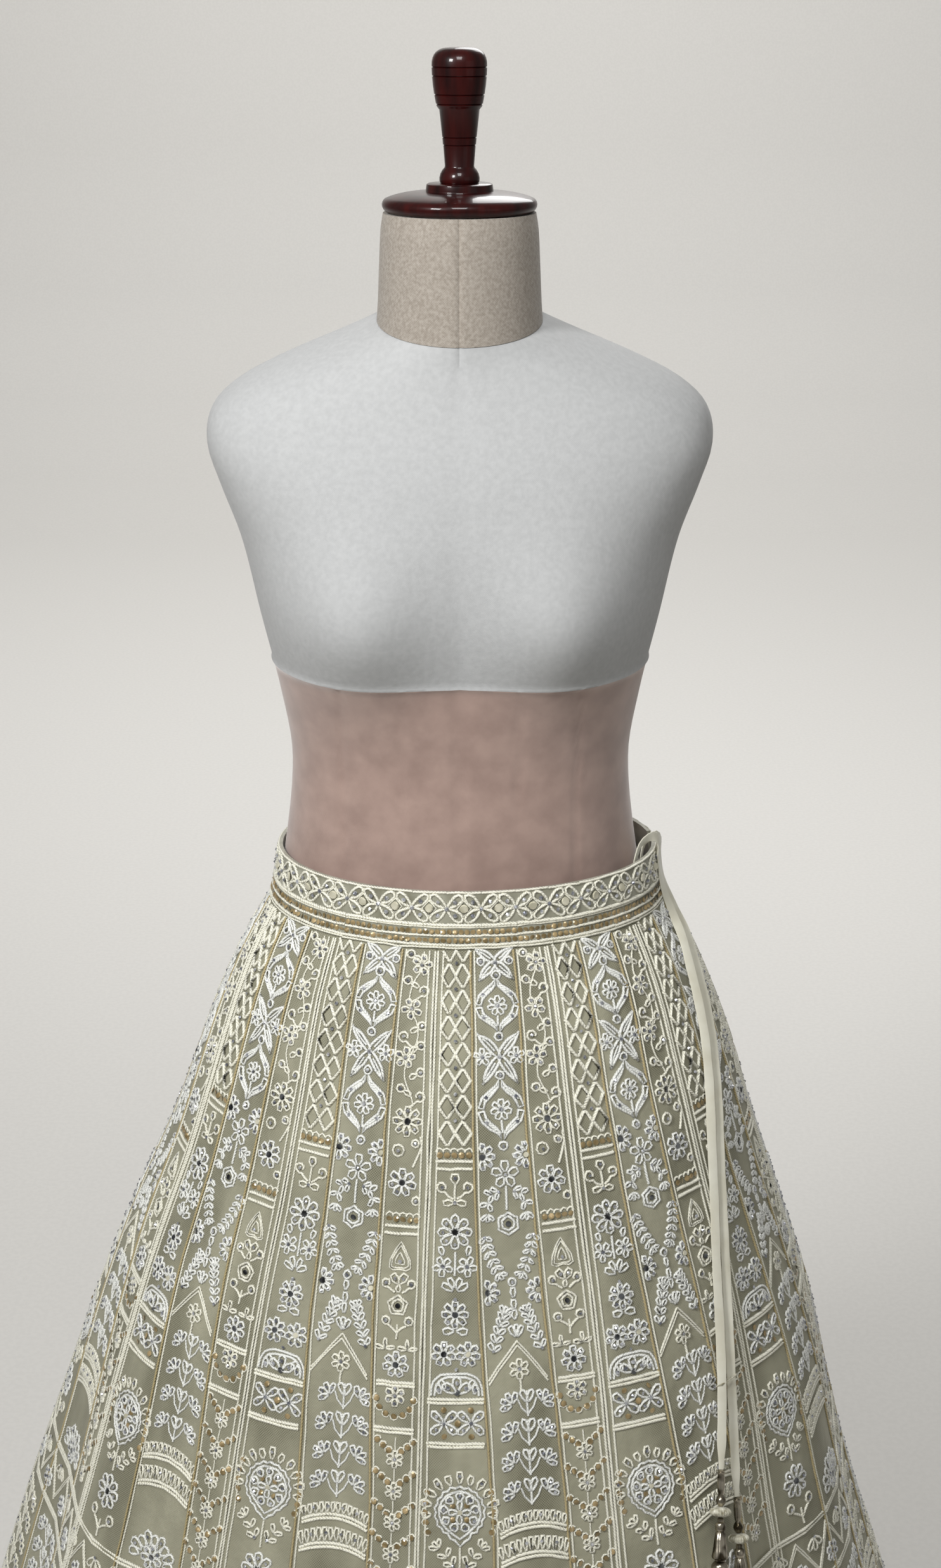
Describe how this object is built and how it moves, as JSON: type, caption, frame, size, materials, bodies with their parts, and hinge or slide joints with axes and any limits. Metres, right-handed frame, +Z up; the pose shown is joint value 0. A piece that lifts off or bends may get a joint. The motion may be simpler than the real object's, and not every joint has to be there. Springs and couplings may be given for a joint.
{
  "type": "lehenga skirt on a limbless dress form with a round stand",
  "caption": "Flared floor-length lehenga skirt of seamed panels on a waistband with a hanging drawstring, worn by a limbless dress form on a pole with a round base.",
  "frame": {"origin": "centre of the stand base's underside, on the floor", "axes": "+Z up along the stand's pole, -Y towards the front of the skirt, +X towards the right of the front view, which is the wearer's left"},
  "size_m": [0.9386, 0.8928, 1.6065],
  "materials": {
    "ivory_net": "embroidered net over satin",
    "ivory_band": "embroidered satin",
    "silk_cord": "satin tie",
    "latkan_metal": "polished",
    "form_canvas": "plain canvas",
    "neck_canvas": "plain canvas",
    "varnished_wood": "gloss varnish",
    "stand_steel": "brushed"
  },
  "bodies": {
    "root": {"form_handle": "varnished_wood", "form_neck": "neck_canvas", "form_neck_cap": "varnished_wood", "form_torso": "form_canvas", "kali_01": "ivory_net", "kali_02": "ivory_net", "kali_03": "ivory_net", "kali_04": "ivory_net", "kali_05": "ivory_net", "kali_06": "ivory_net", "kali_07": "ivory_net", "kali_08": "ivory_net", "kali_09": "ivory_net", "kali_10": "ivory_net", "kali_11": "ivory_net", "kali_12": "ivory_net", "latkan_first_bead": "silk_cord", "latkan_first_bell": "latkan_metal", "latkan_first_cap": "latkan_metal", "latkan_second_bead": "silk_cord", "latkan_second_bell": "latkan_metal", "latkan_second_cap": "latkan_metal", "stand_base": "varnished_wood", "stand_pole": "stand_steel", "strand_first": "silk_cord", "strand_second": "silk_cord", "waistband_back": "ivory_band", "waistband_front": "ivory_band"}
  },
  "joints": []
}
